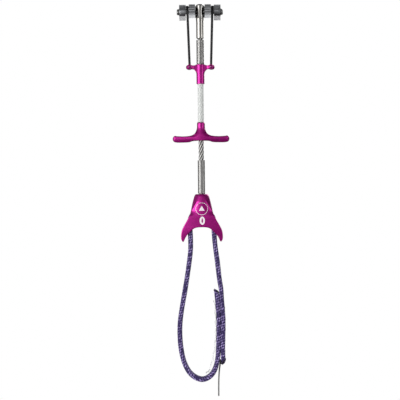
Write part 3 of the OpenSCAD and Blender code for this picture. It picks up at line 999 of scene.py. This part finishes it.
def make_spring(side_name, materials):
    """The wound coil stays on the axle. Each leg is a piece of its own and rides on its cam."""
    side = SIDES[side_name]
    wire, radius, leg, corner = 0.33, 2.65, 3.7, 0.35
    gap_low, gap_high = 8.42, 9.88
    coil = Shape()
    wound = helix(radius * MM, side * gap_low * MM, side * gap_high * MM, 2, 24, TURN / 4, "X")
    coil.tube(wound, wire * MM, 10)
    node = f"cam_spring_{side_name}"
    coil.piece(node + "_coil", materials["spring"], "stem", (node,), 60)
    for kind, x, end in (("inner", gap_low, 7.3), ("outer", gap_high, 11.0)):
        way = math.copysign(1, end - x)
        points = [(x, radius - 0.1), (x, leg - corner), (x + way * 0.1, leg - 0.1),
                  (x + way * corner, leg), (end, leg)]
        bent = catmull([Vector((side * across, 0, up)) * MM for across, up in points], 4)
        shape = Shape()
        shape.tube(bent, wire * MM, 10)
        cam = f"cam_{kind}_{side_name}"
        shape.piece(f"{node}_leg_{kind}", materials["spring"], cam, (), 60)


# ---------------------------------------------------------------- marks on the thumb rest


def make_marks(materials, rest):
    """A plain ring with a triangle, and an oval size mark, laid on the thumb rest's front face."""
    solid = BVHTree.FromPolygons([v.co.copy() for v in rest.data.vertices],
                                 [tuple(p.vertices) for p in rest.data.polygons])
    sunk, proud, in_front = -0.05, 0.03, 50
    section = ((0, sunk), (0, proud), (0.25, 0.035), (0.5, 0.04), (0.75, 0.035), (1, proud), (1, sunk))

    def on_face(x, z, lift):
        """The point of the front face at x and z in mm, moved out of it by a lift."""
        start = Vector((x * MM, -in_front * MM, z * MM))
        hit = solid.ray_cast(start, Vector((0, 1, 0)))[0]
        return Vector((hit.x, hit.y - lift * MM, hit.z))

    def band(name, centre, inner, outer, steps):
        """A flat band between two ellipses, given by their half width and half height."""
        rings = []
        for i in range(steps):
            angle = TURN * i / steps
            ring = []
            for part, lift in section:
                across = inner[0] + (outer[0] - inner[0]) * part
                up = inner[1] + (outer[1] - inner[1]) * part
                x, z = centre[0] + across * math.cos(angle), centre[1] + up * math.sin(angle)
                ring.append(on_face(x, z, lift))
            rings.append(ring)
        shape = Shape()
        shape.skin(rings, loop=True)
        return shape.piece(name, materials["print"], "stem", (), 30)

    band("mark_ring", (0, -143.6), (4.22, 4.22), (4.5, 4.5), 72)
    band("mark_size", (0.3, -152.2), (0.58, 1.65), (1.95, 3.0), 48)
    tip, height, half_tip, spread, rows = -141.5, 3.5, 0.06, 2.0, 8
    rings = []
    for row in range(rows + 1):
        z = tip - height * row / rows
        reach = half_tip + spread * row / rows
        front = [on_face(reach * (2 * k / rows - 1), z, proud) for k in range(rows + 1)]
        back = [on_face(reach * (2 * k / rows - 1), z, sunk) for k in range(rows, -1, -1)]
        rings.append(front + back)
    shape = Shape()
    shape.skin(rings)
    shape.piece("mark_triangle", materials["print"], "stem", (), 30)


def make_pin_heads(materials):
    """Domed heads of the pins that hold the trigger cords in the slider."""
    profile = [(0.45, 3.98), (0.8, 3.84), (1.02, 3.6), (1.08, 3.3), (1.08, 2.5), (0.5, 2.45)]
    x, _, z = ANCHOR
    sides = 24
    turns = [(math.cos(TURN * k / sides), math.sin(TURN * k / sides)) for k in range(sides)]
    shape = Shape()
    for side in SIDES.values():
        for face in CAM_FACES.values():
            shape.skin([[Vector((side * x + r * c, face * depth, z + r * s)) * MM for c, s in turns]
                        for r, depth in profile])
    shape.piece("cord_pin_heads", materials["anchor"], "trigger", ("cord_anchors",), 40)


# ---------------------------------------------------------------- put together


def paint_cad(materials):
    """CAD nodes that stay as they are take a better material."""
    kept = {"cable_stop": "stop", "spacer_washers": "washer", "axle_end_washers": "axle"}
    for node, finish in kept.items():
        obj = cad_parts[node]
        obj.data.materials.clear()
        obj.data.materials.append(materials[finish])


def main():
    add_camera()
    add_stage()
    materials = make_materials()
    sling, path = make_sling(materials)
    ends = make_melted_ends(materials, path)
    label = make_ribbon("sewn_label_tape", LABEL_ROUTE, 7.4, 0.6, materials["label"],
                        "sewn_label", lambda along: 0.25 * math.cos(TURN * (along - 4) / 7.8))
    tag = make_ribbon("care_tag_tape", TAG_ROUTE, 8, 0.95, materials["tag"], "care_tag")
    tacks = make_bartacks(materials, path)

    make_rope(materials)
    make_sheath("upper_sheath", materials)
    make_sheath("lower_sheath", materials)
    for side_name in SIDES:
        make_spring(side_name, materials)
        for kind in CAM_FACES:
            make_cord(kind, side_name, materials)
            cam = f"cam_{kind}_{side_name}"
            softened(cam, cam, materials["cam"], 0.1)
            end = f"cord_end_{kind}_{side_name}"
            softened(end, f"cord_{kind}_{side_name}", materials["ferrule"], 0.12)
    softened("head_terminal", "stem", materials["terminal"], 0.12)
    softened("axle", "stem", materials["axle"], 0.15)
    magenta = materials["magenta"]
    rounded("cord_slider", "trigger", magenta, 0.16, 8, crown_slider)
    rounded("finger_trigger", "trigger", magenta, 0.24, 14, crown_trigger)
    rest = rounded("thumb_rest", "stem", magenta, 0.25, 16, crown_thumb_rest)
    softened("pull_tube", "trigger", materials["tube"], 0.05)
    make_marks(materials, rest)
    make_pin_heads(materials)
    paint_cad(materials)


main()
